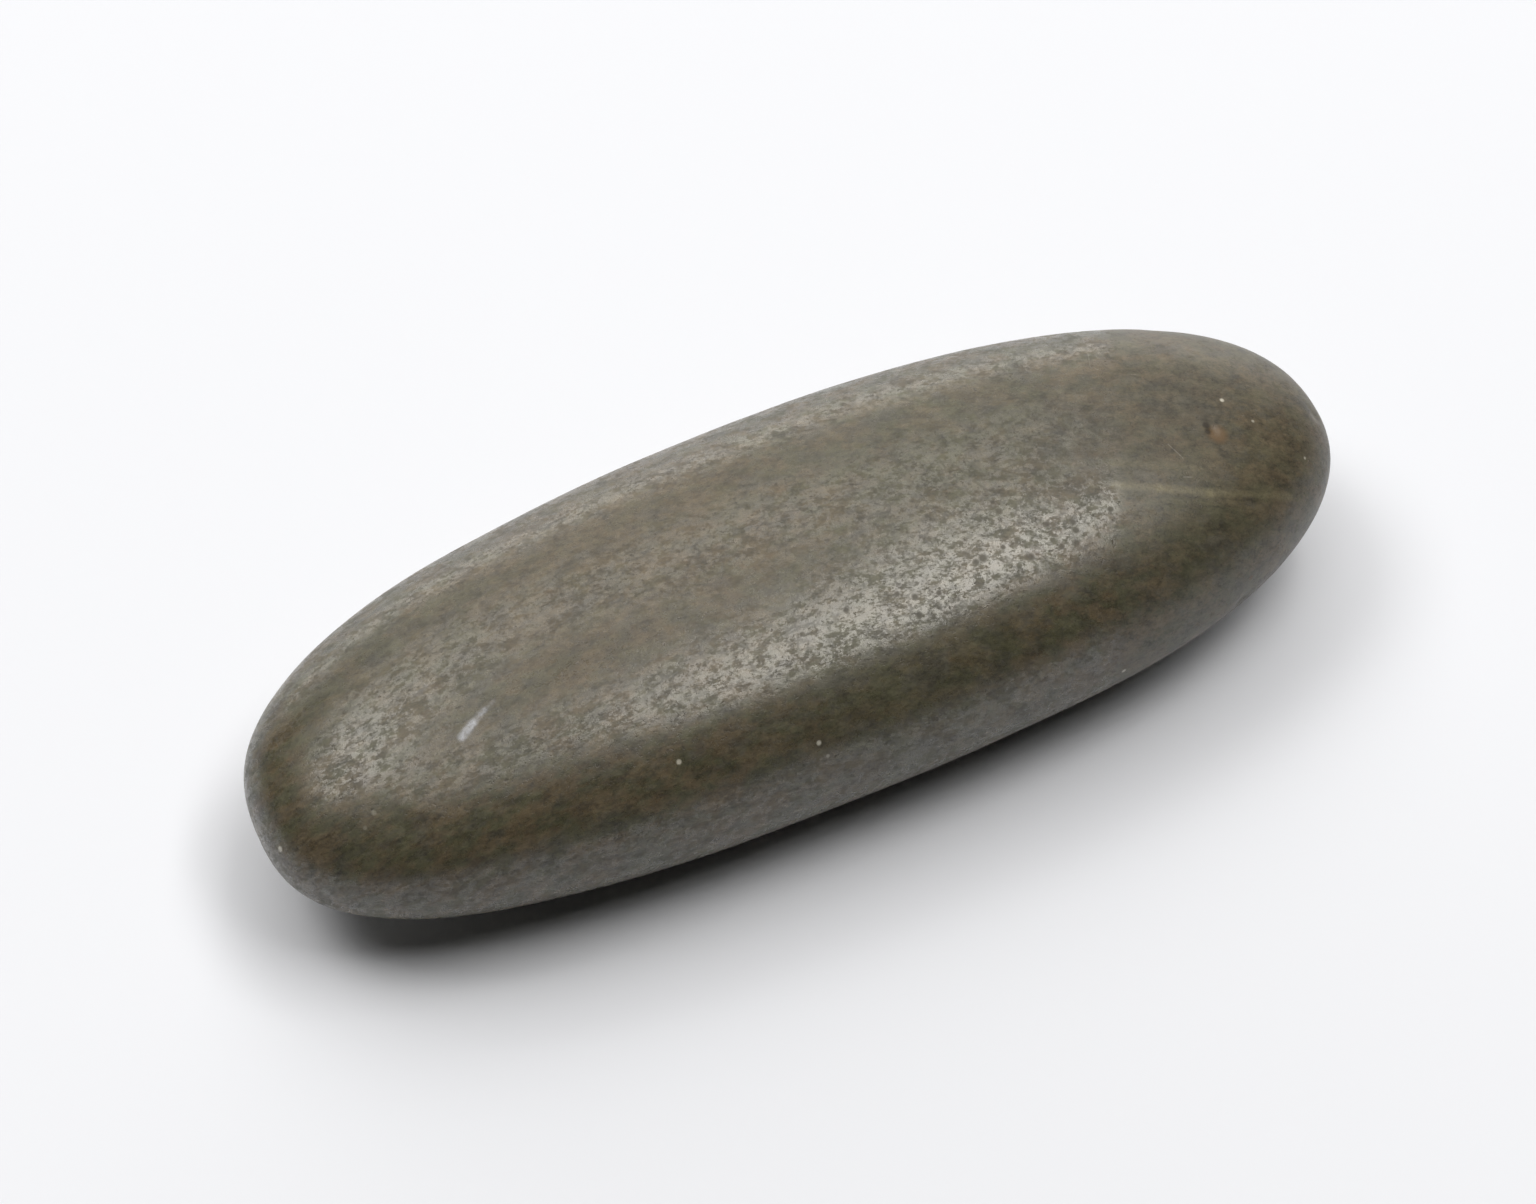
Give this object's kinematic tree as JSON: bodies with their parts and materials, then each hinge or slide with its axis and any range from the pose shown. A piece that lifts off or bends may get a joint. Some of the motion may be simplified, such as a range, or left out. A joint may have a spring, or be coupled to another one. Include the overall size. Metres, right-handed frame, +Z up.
{
  "type": "river pebble",
  "caption": "Long, flattened river pebble, worn smooth, lying on its belly; decorative stone or paperweight.",
  "frame": {"origin": "middle of the bounding box, on the surface that the stone rests on", "axes": "+X along the stone towards its fuller end, +Y across it towards its rounder flank, +Z up"},
  "size_m": [0.14, 0.0512, 0.0317],
  "materials": {
    "stone": "dark olive, dull water-worn polish with fine pits"
  },
  "bodies": {
    "root": {"pebble": "stone"}
  },
  "joints": []
}
